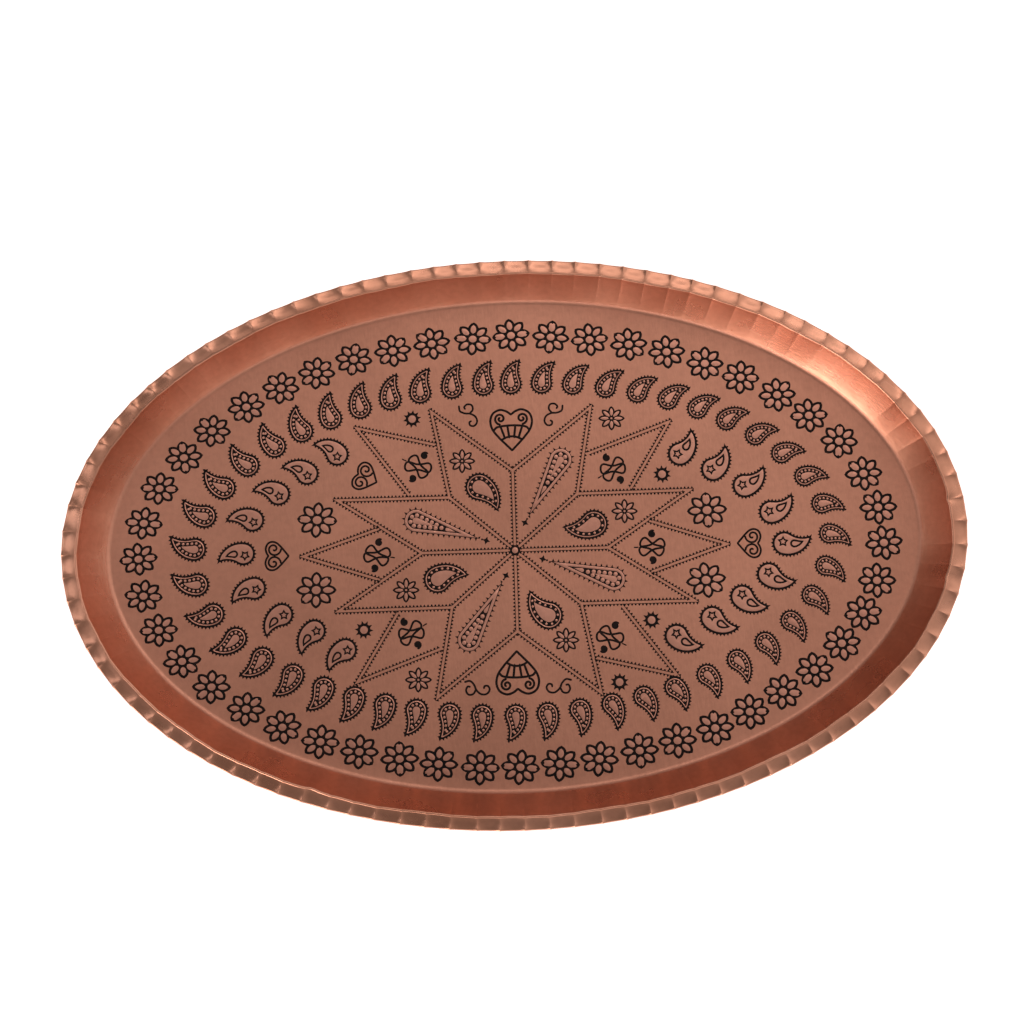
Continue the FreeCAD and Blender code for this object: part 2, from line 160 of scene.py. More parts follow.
def spiral(centre, outer, inner, start, sweep, count=16):
    share = np.linspace(0.0, 1.0, count)
    reach = outer + (inner - outer) * share
    return np.array(centre) + reach[:, None] * unit(start + sweep * share)


def comma(length, width, bend, inset=0.0, count=40):
    """A paisley outline, counter-clockwise, with every side drawn in by inset.

    It lies on +Y about the origin, back to tip. For a bend above 0 the tip curls towards +X.
    """
    turn = math.radians(abs(bend))
    radius = (length - width / 2) / (2 * math.sin(turn / 2))
    middle = [0.0, (width - length) / 2]
    share = np.linspace(0.0, 1.0, count // 2)
    half = width / 2 * (1 - 0.92 * share**1.5) - inset
    share, half = share[half > 0.05], half[half > 0.05, None]
    heading = turn * (share - 0.5)
    across = math.cos(turn / 2) - np.cos(heading)
    along = np.sin(heading) + math.sin(turn / 2)
    spine = np.stack([across, along], axis=-1) * radius + middle
    side = np.stack([np.cos(heading), -np.sin(heading)], axis=-1)
    nose = spine[-1] + np.array([-side[-1][1], side[-1][0]]) * half[-1]
    bulb = unit(np.linspace(180.0, 360.0, count // 2) + math.degrees(turn / 2))
    bulb = bulb * (width / 2 - inset) + middle
    loop = np.vstack([bulb[:-1], spine + side * half, nose, (spine - side * half)[:0:-1]])
    return loop if bend > 0 else (loop * [-1.0, 1.0])[::-1]


# ---- punches ----------------------------------------------------------------------------
# A punch is a list of loops. Each loop is (level, height, points). An odd level is punched and
# filled with black, an even one is copper left standing, and the highest level wins.


def struck(points):
    return (1, 0.0, points)


def standing(level, edge, crown):
    """A copper island with its edge a little low and its crown a little high."""
    return [(level, ISLAND_EDGE, edge), (level, 0.02, crown)]


def petal(inner, outer, half, count=7, notch=0.0):
    """A leaf along +X, counter-clockwise; a notch splits its tip in two."""
    share = np.linspace(0.0, 1.0, count)
    breadth = half * np.sin(math.pi * share**0.9) ** 0.58
    if notch:
        breadth = half * np.sin(math.pi * np.minimum(share, 0.66) ** 0.9) ** 0.58
        breadth[-1] = half * 0.4
    lower = np.stack([inner + (outer - inner) * share, -breadth], axis=-1)
    upper = lower[::-1] * [1, -1]
    if notch:
        return np.vstack([lower, [[outer - notch, 0.0]], upper[:-1]])
    return np.vstack([lower, upper[1:-1]])


def flower_punch(size, eye, leaf, line, squash=1.0, notched=None, phase=0.0):
    """Eight outlined petals about an outlined eye, drawn wider than tall."""
    loops = [struck(ring(eye + line, 20))]
    loops += standing(2, ring(eye, 14), ring(eye * 0.75, 10))
    root = eye + 0.8 * line
    for number in range(8):
        wide = notched is not None and number % 4 == notched
        half = leaf * (1.12 if wide else 1.0)
        notch = 0.5 if wide else 0.0
        angle = phase + number * 45.0
        outline = petal(root - line, size, half + line * 0.95, 11)
        loops.append(struck(turned(outline, angle)))
        island = petal(root, size - line * 1.1, half, 9, notch)
        middle = petal(root + 0.5, size - line * 1.1 - 0.8, half * 0.62, 5)
        loops += standing(2, turned(island, angle), turned(middle, angle))
    return [(level, height, points * [1.0, squash]) for level, height, points in loops]


def beaded_comma(length=15.8, width=9.3, bend=60.0, beads=14, pitch=1.5, tooth=0.8):
    """A toothed paisley: a bright ridge, then a black band with copper beads, then a bare drop."""
    loops = [struck(toothed(comma(length, width, bend, -0.15, 60), pitch, tooth))]
    loops.append((2, ISLAND_EDGE, comma(length, width, bend, 0.72)))
    loops.append((2, 0.07, comma(length, width, bend, 0.95)))
    loops.append((3, ISLAND_EDGE, comma(length, width, bend, 1.16)))
    drop = comma(length, width, bend, 3.1, 24)
    loops += standing(4, drop, drop.mean(axis=0) + (drop - drop.mean(axis=0)) * 0.7)
    track = comma(length, width, bend, 2.12, 80)
    tip = np.argmax(track[:, 1])
    for spot in even(np.roll(track, -tip - 3, axis=0)[:-6], beads, closed=False):
        loops.append((4, ISLAND_EDGE, ring(0.54, 8, spot)))
        loops.append((4, 0.07, ring(0.26, 4, spot)))
    return loops


def starred_comma():
    """A toothed paisley outline with an outlined star in the bulb and a seed towards the tip."""
    length, width, bend = 16.6, 10.2, -72.0
    loops = [struck(toothed(comma(length, width, bend, 0.0, 60), 1.5, 0.8))]
    loops.append((2, ISLAND_EDGE, comma(length, width, bend, 0.95)))
    loops.append((2, 0.03, comma(length, width, bend, 1.4)))
    reach = np.where(np.arange(10) % 2 == 0, 1.0, 0.55)[:, None]
    points = unit(90 + 36 * np.arange(10)) * reach
    bulb = np.array([-0.9, -3.6])
    loops.append((3, ISLAND_EDGE, bulb + points * 2.5))
    loops.append((4, 0.0, bulb + points * 1.15))
    for level, inset in ((3, 0.0), (4, 0.85)):
        seed = comma(5.8, 3.5, -30.0, inset, 24) + [1.1, 1.9]
        loops.append((level, ISLAND_EDGE if level == 3 else 0.0, seed))
    return loops


def tear(length, radius, inset, count=40):
    """A round bulb drawn out to a straight point along +Y, with every side drawn in."""
    sine = radius / (length - radius)
    small = radius - inset
    tip = radius + small / sine
    half = math.degrees(math.asin(sine))
    bulb = unit(np.linspace(180.0 - half, 360.0 + half, count // 2)) * small + [0.0, radius]
    side = np.linspace(0.0, 1.0, count // 4 + 1)[1:, None]
    right = bulb[-1] + ([0.0, tip] - bulb[-1]) * side
    left = [0.0, tip] + (bulb[0] - [0.0, tip]) * side[:-1]
    return np.vstack([bulb, right, left])


def long_drop():
    """A long straight drop: spikes, a broad bright rim, a beaded black band, a bare middle."""
    length, radius = 35.4, 5.2
    loops = []
    base = even(tear(length, radius, 0.0, 120), 32)
    for spot, out in zip(base, normals(base)):
        along = np.array([-out[1], out[0]])
        loops.append(struck(np.array([spot - along * 0.55, spot + out * 1.3, spot + along * 0.55])))
    loops.append(struck(tear(length, radius, 0.0)))
    loops.append((2, ISLAND_EDGE, tear(length, radius, 0.3)))
    loops.append((2, 0.06, tear(length, radius, 0.8)))
    loops.append((3, ISLAND_EDGE, tear(length, radius, 1.45)))
    middle = tear(11.2, 1.45, 0.0, 24) + [0.0, radius - 1.45]
    loops += standing(4, middle, middle.mean(axis=0) + (middle - middle.mean(axis=0)) * 0.6)
    spare = tear(4.6, 0.85, 0.0, 20) + [0.0, 19.2]
    loops += standing(4, spare, spare.mean(axis=0) + (spare - spare.mean(axis=0)) * 0.6)
    track = tear(length, radius, 2.75, 240)
    tip = np.argmax(track[:, 1])
    track = np.roll(track, -tip, axis=0)
    track = track[track[:, 1] < 15.0]
    for spot in list(even(track, 12, closed=False)) + [np.array([0.0, 17.3])]:
        loops.append((4, ISLAND_EDGE, ring(0.95, 9, spot)))
        loops.append((4, 0.07, ring(0.45, 5, spot)))
    reach = np.where(np.arange(8) % 2 == 0, 1.9, 0.85)[:, None]
    loops.append(struck(unit(45 * np.arange(8)) * reach + [0.0, length + 3.0]))
    loops.append(struck(ring(0.5, 6, (0.0, length + 1.0))))
    return loops


def knot_punch():
    """Two crossed ovals, which make four loops about a small middle, with two curls."""
    loops = []
    ovals = ((5.6, 3.3, 122.0, (0.1, 0.2)), (6.0, 3.1, -6.0, (0.0, 0.0)))
    for long_half, short_half, angle, centre in ovals:
        cosine, sine = ring(1.0, 36).T
        breadth = short_half * sine * (0.4 + 1.1 * cosine**2)
        waisted = np.stack([long_half * cosine, breadth], axis=-1)
        loop = turned(waisted, angle) + centre
        for part in (loop[:20], np.vstack([loop[18:], loop[:2]])):
            loops.append(struck(ribbon(part, 0.95)))
    for spot, turn in (((3.0, 5.0), 40.0), ((-2.6, -4.9), 220.0)):
        line = turned(spiral((0.0, 0.0), 1.8, 0.7, 0.0, 250.0, 12), turn) + spot
        loops.append(struck(ribbon(line, 1.0)))
        loops.append(struck(ring(1.5, 9, spot)))
    loops.append(struck(ribbon(np.array([[-7.0, 3.9], [-6.2, 3.4], [-5.4, 3.1]]), 0.6)))
    return loops


HEART_SIDE = [(0.0, 7.4), (2.2, 9.0), (5.2, 9.7), (8.4, 8.0), (9.6, 4.4), (8.6, 0.4), (5.6, -3.6)]
HEART_POINT = (0.0, -9.4)


def heart_lines(scale):
    """Both halves of a heart's outline, from the notch to the point."""
    half = np.vstack([spline(HEART_SIDE, 5), [HEART_POINT]]) * scale
    return [half, half * [-1, 1]]


def fan_heart_punch():
    """A heart with two spirals above a fan of five cells."""
    width = 1.05
    loops = [struck(ribbon(line, width)) for line in heart_lines(0.99)]
    brow = spline([(-8.2, 0.0), (-6.2, 1.7), (0.0, 2.3), (6.2, 1.7), (8.2, 0.0)], 5)
    chin = spline([(-4.6, -4.3), (-2.4, -3.2), (0.0, -2.8), (2.4, -3.2), (4.6, -4.3)], 4)
    loops += [struck(ribbon(brow, width)), struck(ribbon(chin, width))]
    for top, foot in ((-5.0, -3.2), (-1.8, -1.1), (1.8, 1.1), (5.0, 3.2)):
        spoke = np.array([[top, 2.0], [(top + foot) / 2, -0.6], [foot, -3.3]])
        loops.append(struck(ribbon(spoke, width)))
    for side in (-1, 1):
        curl = spiral((4.95, 5.5), 2.7, 0.5, -85.0, 500.0, 22) * [side, 1]
        loops.append(struck(ribbon(curl, width)))
    return loops


def scroll_heart_punch():
    """A small heart whose lobes hold spirals."""
    width = 0.92
    loops = [struck(ribbon(line * [1.0, 0.81], width)) for line in heart_lines(0.67)]
    for side in (-1, 1):
        curl = spiral((3.2, 1.6), 3.3, 0.5, -90.0, -470.0, 24) * [side, 1]
        loops.append(struck(ribbon(curl, width)))
    return loops


def scroll_punch():
    """Two curls that branch from one stem."""
    stem = spline([(4.6, 4.6), (4.2, 2.3), (2.0, 1.2), (-0.6, 1.0), (-3.0, -0.4), (-3.7, -2.8),
                   (-2.4, -4.6), (-0.6, -4.4), (-0.2, -3.0), (-1.0, -2.4)], 5)
    curl = spline([(-0.4, 1.2), (-1.7, 3.0), (-1.2, 5.0), (0.8, 5.4), (2.2, 4.2), (1.8, 3.2)], 5)
    return [struck(ribbon(stem, 0.9)), struck(ribbon(curl, 0.9))]


def gear_punch():
    """A ring of coarse teeth about a bare middle."""
    loops = [struck(toothed(ring(2.9, 40), 1.9, 1.35))]
    return loops + standing(2, ring(1.75, 14), ring(1.0, 8))


# ---- the pattern ------------------------------------------------------------------------


pattern = []  # (infill piece, level, height, points)


def strike(piece, punch, spot, degrees=0.0, size=1.0):
    """Adds one blow of a punch."""
    for level, height, points in punch:
        pattern.append((piece, level, height, turned(points * size, degrees) + spot))


def ellipse_places(half_x, half_y, count, start=0.0, sweep=360.0):
    """Places an equal walk apart along an ellipse, with the angle of the outward normal."""
    fine = 7200
    angle = np.radians(start + sweep * np.arange(fine + 1) / fine)
    line = np.stack([half_x * np.cos(angle), half_y * np.sin(angle)], axis=-1)
    walked = lengths(line, closed=False)
    gaps = count if sweep >= 360.0 else count - 1
    at = np.interp(np.arange(count) * walked[-1] / gaps, walked, angle)
    spots = np.stack([half_x * np.cos(at), half_y * np.sin(at)], axis=-1)
    outward = np.degrees(np.arctan2(half_x * np.sin(at), half_y * np.cos(at)))
    return zip(spots, outward)


def wobble(amount):
    return random.uniform(-amount, amount)


def on_star(x, y, turn=STAR_TURN):
    return turned(np.array([x, y]), turn) + STAR_CENTRE


# The smith's own unevenness. A wave gives how far a ring's marks wander clockwise, in shares of
# their pitch: steady part, first swing and its peak, second swing and its peak. The slips, in
# millimetres at angles round the ring, correct it. Slips and turns were read one by one, with
# this pattern laid over the photo.
FLOWER_WAVE = (0.2, 0.172, 52, 0.13, 20)
FLOWER_PITCH = 18.0
FLOWER_SLIPS = [(0, 2.7), (20, 2.3), (50, 2.2), (70, 1.3), (90, 0.5), (115, 1.6), (135, 2.4),
                (145, 3.7), (155, 4.7), (165, 4.3), (175, 2.8), (190, 2.2), (200, 1.1), (215, 0.4),
                (235, 0.0), (280, 0.1), (315, 1.0), (335, 2.1), (360, 2.7)]
PAISLEY_WAVE = (0.25, 0.22, 140, 0.13, 130)
PAISLEY_PITCH = 15.4
PAISLEY_SLIPS = [(0, 0.0), (45, 0.0), (67, 0.0), (74, 1.0), (80, 2.1), (90, 2.4), (96, 1.0),
                 (105, 0.6), (125, 0.2), (155, 0.0), (180, 0.0), (200, 0.9), (212, 1.2),
                 (228, 2.4), (240, 1.9), (250, 0.3), (270, 0.0), (300, 0.0), (330, 0.0), (360, 0.0)]
# How the outer paisleys turn from the outward direction, at angles round the ring.
PAISLEY_TURNS = [(0, -31), (30, -45), (60, -46), (80, -34), (90, -19), (105, -30), (125, -19),
                 (140, -1), (155, -3), (180, -26), (190, -42), (210, -22), (240, -16), (270, -18),
                 (296, 9), (315, -8), (345, -20), (360, -31)]
# The starred paisleys stand along two arcs, each with a slip in x and y, and its own direction.
ARC_HALF_X = 124.8
ARC_SWEEP = 102.0
RIGHT_ARC = [(-2.9, 0.8, -21), (-2.1, 1.3, -21), (-2.4, 1.0, -22), (-1.1, -1.4, -15),
             (1.8, -2.1, 13), (1.0, -2.4, 39), (0.9, -2.1, 43), (0.5, -2.7, 61), (1.3, -1.9, 63)]
LEFT_ARC = [(-3.0, -0.4, 156), (-1.2, -1.9, 165), (0.0, -1.6, 172), (-0.3, -0.8, 180),
            (0.8, -0.4, 196), (1.6, -0.4, 212), (3.4, -0.4, 235), (3.9, 1.6, 241), (1.5, 0.35, 231)]


def wave(angle, steady, first, first_peak, second, second_peak):
    return (steady + first * math.cos(math.radians(angle - first_peak))
            + second * math.cos(math.radians(2 * (angle - second_peak))))


def drifted(half_x, half_y, ripple, pitch, slips):
    """Places for a ring of marks, each moved clockwise by its own share of the pitch.

    Gives the place, the angle of the outward normal and the angle round the ring.
    """
    steps = 40
    fine = list(ellipse_places(half_x, half_y, RING_MARKS * steps))
    stations = [angle for angle, _ in slips]
    drifts = [round(wave(angle, *ripple) - slip / pitch, 2) for angle, slip in slips]

    def angle_of(spot):
        return math.degrees(math.atan2(spot[1] / half_y, spot[0] / half_x)) % 360.0

    for number in range(RING_MARKS):
        drift = np.interp(angle_of(fine[number * steps][0]), stations, drifts)
        place, outward = fine[int(round(number * steps - steps * drift)) % len(fine)]
        yield place, outward, angle_of(place)


def lay_rings():
    for spot, _, angle in drifted(*FLOWER_RING, FLOWER_WAVE, FLOWER_PITCH, FLOWER_SLIPS):
        round_share = 0.90 + 0.03 * math.cos(math.radians(angle))
        punch = flower_punch(8.8, 1.8, 1.3, 1.3, round_share, random.randrange(4), wobble(9.0))
        place = spot + PATTERN_CENTRE + [wobble(0.4), wobble(0.4)]
        strike("flower_border", punch, place)
    paisley = beaded_comma()
    stations, turns = zip(*PAISLEY_TURNS)
    for spot, outward, angle in drifted(*PAISLEY_RING, PAISLEY_WAVE, PAISLEY_PITCH, PAISLEY_SLIPS):
        lean = np.interp(angle, stations, turns)
        size = 1.03 - 0.07 * math.cos(math.radians(angle))
        strike("outer_paisleys", paisley, spot + PATTERN_CENTRE, outward - 90.0 + lean, size)
    paisley = starred_comma()
    for half_y, start, arc, size in ((57.5, -51.0, RIGHT_ARC, 1.07), (60.0, 128.5, LEFT_ARC, 1.02)):
        spots = ellipse_places(ARC_HALF_X, half_y, len(arc), start, ARC_SWEEP)
        for (spot, _), (slip_x, slip_y, direction) in zip(spots, arc):
            place = np.round(spot + PATTERN_CENTRE + [slip_x, slip_y], 1)
            strike("inner_paisleys", paisley, place, direction - 90.0, size)


# One quarter of the star's corners and points, on its own axes; the others mirror these.
NOTCHES = [(42.0, 0.0), (29.0, 24.9), (0.0, 36.4)]
WIDE_TIP = (79.9, 25.1)
TALL_TIP = (36.4, 64.7)
SIDE_POINT = [(61.0, 11.7), (95.6, 0.0), (61.0, -11.7)]
CORNER_POINT = [(34.4, 46.2), (71.2, 57.4), (50.2, 26.4)]
QUARTERS = [(1, 1), (-1, 1), (-1, -1), (1, -1)]
ROW_OFFSET = 0.6
TOOTH_PITCH = 1.64
OPEN_END = 1.4


def inset_corners(corners, distance):
    """A closed polygon drawn in by a distance, mitred; it is made counter-clockwise."""
    corners = np.array(corners, float)
    if clockwise(corners):
        corners = corners[::-1]
    along = np.roll(corners, -1, axis=0) - corners
    along = along / np.linalg.norm(along, axis=1)[:, None]
    inward = np.stack([-along[:, 1], along[:, 0]], axis=-1)
    before, leaving = np.roll(inward, 1, axis=0), inward
    mitre = (before + leaving) / (1 + np.sum(before * leaving, axis=1))[:, None]
    return corners + mitre * distance


def tooth_row(piece, start, end, side):
    """A fine line with teeth standing on one side of it (+1 is left)."""
    along = end - start
    length = np.linalg.norm(along)
    along = along / length
    out = np.array([-along[1], along[0]]) * side
    count = max(1, int(round(length / TOOTH_PITCH)))
    comb = [start - out * 0.05, start + out * 0.2]
    for number in range(count):
        middle = start + along * length * (number + 0.5) / count
        high = 1.05 + wobble(0.12)
        comb += [middle - along * 0.6 + out * 0.2, middle + out * high - along * 0.14,
                 middle + out * high + along * 0.14, middle + along * 0.6 + out * 0.2]
    comb += [end + out * 0.2, end - out * 0.05]
    pattern.append((piece, 1, 0.0, np.array(comb)))


def lay_star():
    middle = (0.0, 0.0)
    outline = []
    for flip_x, flip_y in QUARTERS:
        path = [NOTCHES[0], WIDE_TIP, NOTCHES[1], TALL_TIP, NOTCHES[2]]
        quarter = [np.array([x * flip_x, y * flip_y]) for x, y in path]
        for low, tip, high in (quarter[0:3], quarter[2:5]):
            corners = [on_star(*corner) for corner in (middle, low, tip, high)]
            inner = inset_corners(corners, ROW_OFFSET)
            for a, b in zip(inner, np.roll(inner, -1, axis=0)):
                near = min(np.linalg.norm(a - STAR_CENTRE), np.linalg.norm(b - STAR_CENTRE))
                tooth_row("star_rays" if near < 12 else "star_outline", a, b, 1)
        outline.append(quarter if flip_x * flip_y > 0 else quarter[::-1])
    corners = []
    for quarter in outline:
        corners += [on_star(*corner) for corner in quarter[:-1]]
    outer = inset_corners(corners, -ROW_OFFSET)
    for a, b in zip(outer, np.roll(outer, -1, axis=0)):
        tooth_row("star_outline", a, b, -1)


def lay_points():
    """Six triangles behind the star; each is open where it meets the star."""
    triangles = []
    for flip_x, flip_y in QUARTERS:
        slip = [(0.0, -3.0 * flip_x), (0.7 * flip_y, -0.6 * flip_x), (3.0 * flip_y, 0.0), (0.0, 0.0)]
        triangles.append([(x * flip_x + dx, y * flip_y + dy)
                          for (x, y), (dx, dy) in zip(CORNER_POINT + [NOTCHES[1]], slip)])
    for flip_x in (1, -1):
        triangles.append([(x * flip_x, y) for x, y in SIDE_POINT + [NOTCHES[0]]])
    for corners in triangles:
        corners = np.array([on_star(*corner) for corner in corners])
        base_a, tip, base_b, notch = corners
        if clockwise(corners[:3]):
            base_a, base_b = base_b, base_a
        inner = inset_corners([base_a, tip, base_b, notch], ROW_OFFSET)
        outer = inset_corners([base_a, tip, base_b, notch], -ROW_OFFSET)
        for row, side in ((inner, 1), (outer, -1)):
            for first, last in ((row[0], row[1]), (row[1], row[2])):
                along = (last - first) / np.linalg.norm(last - first)
                start = first + along * OPEN_END if first is row[0] else first
                end = last - along * OPEN_END if last is row[2] else last
                tooth_row("star_points", start, end, side)


def scatter(piece, punch, places):
    """A punch at each (x, y, turn) on the star's own axes."""
    for x, y, degrees in places:
        strike(piece, punch, on_star(x, y, MOTIF_TURN), degrees + MOTIF_TURN)


def lay_middle():
    """The ring and the loose motifs.

    A script measured their places in the photo through the fitted camera. Some were then
    moved.
    """
    ring_punch = [struck(ring(2.35, 28)), (2, 0.0, ring(1.35, 16)), (2, 0.1, ring(0.8, 8))]
    strike("centre_ring", ring_punch, STAR_CENTRE)
    scatter("star_paisleys", beaded_comma(19.4, 12.2, 58.0, 14, 1.65),
            [(-14.0, 26.1, -142.0), (32.1, 11.6, 96.0), (12.9, -26.5, 38.0), (-31.3, -12.5, -82.0)])
    scatter("long_drops", long_drop(),
            [(23.4, 45.9, 150.5), (-49.9, 15.0, -106.0), (49.4, -14.6, 74.0), (-23.3, -44.7, -30.0)])
    blossom = flower_punch(6.1, 0.5, 0.72, 0.9, 0.93)
    scatter("blossoms", blossom,
            [(-24.0, 40.8, 0), (49.6, 17.7, 0), (22.7, -40.4, 0), (-49.0, -17.9, 0),
             (44.2, 60.5, 0), (-43.2, -57.9, 0)])
    scatter("knots", knot_punch(),
            [(-44.0, 38.1, 2), (44.7, 37.0, 60), (61.8, 1.3, 30), (42.4, -39.1, 182),
             (-46.6, -37.1, 240), (-62.2, -2.0, 200)])
    for number, (x, y) in enumerate([(-89.5, 13.9), (-89.4, -17.8), (87.0, 18.1), (85.9, -13.6)]):
        rosette = flower_punch(9.2, 2.0, 1.42, 1.2, 0.9, number % 4, 4.0 * number - 6.0)
        strike("rosettes", rosette, on_star(x, y, MOTIF_TURN))
    scatter("fan_hearts", fan_heart_punch(), [(-1.5, 55.0, 2), (0.9, -54.6, 182)])
    scatter("scroll_hearts", scroll_heart_punch(),
            [(-67.5, 33.2, 66), (-107.2, -2.4, 90), (105.6, 3.0, -90)])
    scatter("gear_rosettes", gear_punch(),
            [(-46.9, 60.3, 0), (66.9, 34.6, 10), (61.1, -31.5, 30), (-67.7, -35.7, 20),
             (46.4, -59.1, 40)])
    scatter("scrolls", scroll_punch(), [(17.3, 62.0, 0), (-16.6, -61.6, 110)])
    mirror = [(level, height, points * [-1, 1]) for level, height, points in scroll_punch()]
    scatter("scrolls", mirror, [(-20.9, 61.7, 0), (19.0, -60.8, -110)])


# ---- the rim ----------------------------------------------------------------------------


FLUTES = 96
CREST_SHARES = [0.0, 0.025, 0.08, 0.18, 0.33, 0.5, 0.67, 0.82, 0.92, 0.975]
COLUMNS = FLUTES * len(CREST_SHARES)
FLUTE_SAG = 0.95
BEAD_RADIUS = 0.65
WALL_REACH_SIDE = 15.4
WALL_REACH_END = 16.8
FLANGE_SIDE = 6.0
FLANGE_END = 6.7
FOOT_ROUND = 2.6


def rim_columns():
    """For each column: angle, edge point, outward normal, sag (0 at a crest), and flute depth."""
    fine = 14400
    angle = 2 * math.pi * np.arange(fine + 1) / fine
    line = np.stack([HALF_X * np.cos(angle), HALF_Y * np.sin(angle)], axis=-1)
    walked = lengths(line, closed=False)
    pitch = walked[-1] / FLUTES
    crests = [number * pitch + wobble(0.06 * pitch) for number in range(FLUTES)]
    crests.append(crests[0] + walked[-1])
    depths = [1.0 + wobble(0.2) for _ in range(FLUTES)]
    spots, sags, deep = [], [], []
    for number in range(FLUTES):
        for share in CREST_SHARES:
            spots.append(crests[number] + (crests[number + 1] - crests[number]) * share)
            sags.append(1 - math.exp(-min(share, 1 - share) / 0.13))
            deep.append(depths[number])
    at = np.interp(np.array(spots) % walked[-1], walked, angle)
    edge = np.stack([HALF_X * np.cos(at), HALF_Y * np.sin(at)], axis=-1)
    outward = np.stack([HALF_Y * np.cos(at), HALF_X * np.sin(at)], axis=-1)
    outward = outward / np.linalg.norm(outward, axis=1)[:, None]
    return at, edge, outward, np.array(sags), np.array(deep)


def bump(at, where, breadth):
    """A smooth swelling of 1 at an angle round the rim."""
    gap = (at - math.radians(where) + math.pi) % (2 * math.pi) - math.pi
    return np.exp(-((gap / math.radians(breadth)) ** 2))


def rim_rows():
    """Rows of points from the base's edge, over the rim, and back under to the base.

    Each row is (inward distance from the edge, height), one value for each column.
    """
    at, edge, outward, sag, deep = rim_columns()
    ends = np.cos(at) ** 2
    foot = WALL_REACH_SIDE + (WALL_REACH_END - WALL_REACH_SIDE) * ends
    lip = FLANGE_SIDE + (FLANGE_END - FLANGE_SIDE) * ends
    lip = lip + 0.16 * np.sin(at * 31 + 1.0) + 0.12 * np.sin(at * 17) + 0.2 * (sag - 0.5)
    dents = 0.9 * bump(at, -118.0, 1.0) + 0.9 * bump(at, 5.0, 0.8) + 0.5 * bump(at, -12.0, 0.8)
    lip = lip + 0.7 * dents
    top = HEIGHT - 0.05 - 0.5 * dents + 0.08 * np.sin(at * 23)
    rows = []

    def row(inward, height):
        rows.append((inward + 0 * at, height + 0 * at))

    # The wall leans out from the foot to just under the bead.
    mouth_in, mouth_up = lip + BEAD_RADIUS, top - BEAD_RADIUS
    lean = np.arctan2(mouth_up - SHEET, foot - mouth_in)
    tangent = FOOT_ROUND * np.tan(lean / 2)
    for share in np.linspace(0.0, 1.0, 5):
        angle = lean * share
        row(foot + tangent - FOOT_ROUND * np.sin(angle), SHEET + FOOT_ROUND * (1 - np.cos(angle)))
    start_in, start_up = rows[-1]
    for share in (0.18, 0.36, 0.54, 0.72, 0.88):
        belly = -0.28 * math.sin(math.pi * share)
        row(start_in + (mouth_in - start_in) * share + belly * np.sin(lean),
            start_up + (mouth_up - start_up) * share + belly * np.cos(lean))
    # The bead rolls over from the wall to the flange.
    for angle in (175.0, 140.0, 105.0, 78.0, 54.0, 34.0):
        reach = unit(angle) * BEAD_RADIUS
        row(lip - reach[0], top - BEAD_RADIUS + reach[1])
    # The flange sags between crests, more towards its edge.
    level = top - 0.22
    first_in = lip - BEAD_RADIUS - 0.35
    scallop = 0.06 * sag
    edge_in = 0.75 + scallop
    for share in (0.0, 0.2, 0.42, 0.66, 0.86, 1.0):
        ramp = 0.12 + 0.88 * (share * share * (3 - 2 * share))
        crest = level + 0.25 * share
        row(first_in + (edge_in - first_in) * share, crest - FLUTE_SAG * deep * sag * ramp)
    high = rows[-1][1]
    # The edge rolls down into the skirt.
    for angle in (60.0, 30.0, 0.0):
        reach = unit(angle) * 0.7
        row(0.7 + scallop - reach[0], high - 0.7 + reach[1])
    row(0.05 + scallop, high - 1.5)
    row(0.1 + scallop, high - 2.1)
    row(0.1 + SHEET * 0.5 + scallop, high - 2.35)
    row(0.1 + SHEET + scallop, high - 2.1)
    row(0.05 + SHEET + scallop, high - 1.3)
    # The underside follows the flange, the bead and the wall one thickness below.
    row(1.3 + scallop, high - SHEET)
    row(lip * 0.55, level - SHEET - FLUTE_SAG * deep * sag * 0.5)
    row(lip - 0.4, level - SHEET)
    row(lip + 0.25, mouth_up - 0.6)
    thick = SHEET * 1.15
    for share in (0.85, 0.5, 0.15):
        row(start_in - thick + (mouth_in - start_in) * share,
            start_up + (mouth_up - start_up) * share)
    outer_round = FOOT_ROUND + SHEET
    for share in (0.75, 0.5, 0.25, 0.0):
        angle = lean * share
        row(foot + tangent - outer_round * np.sin(angle), outer_round * (1 - np.cos(angle)))
    points = []
    for inward, height in rows:
        spot = edge - outward * inward[:, None]
        points.append(np.column_stack([spot, height]))
    return np.array(points)


# ---- the net of triangles over the base -------------------------------------------------


NET_STEP = 6.0
CREASE_ANGLE = math.radians(38)
FIELD_HALF_X = 157.3
FIELD_HALF_Y = 88.3


def ground(x, y):
    """The height of the bare copper: the sheet's thickness, with slow unevenness."""
    edge = np.clip((1.0 - (x / 181.0) ** 2 - (y / 109.0) ** 2) * 4.0, 0.0, 1.0)
    slow = 0.07 * np.sin(x / 31.0 + 0.7) * np.cos(y / 23.0) + 0.05 * np.sin(x / 17.0 + y / 29.0)
    return SHEET + edge * slow


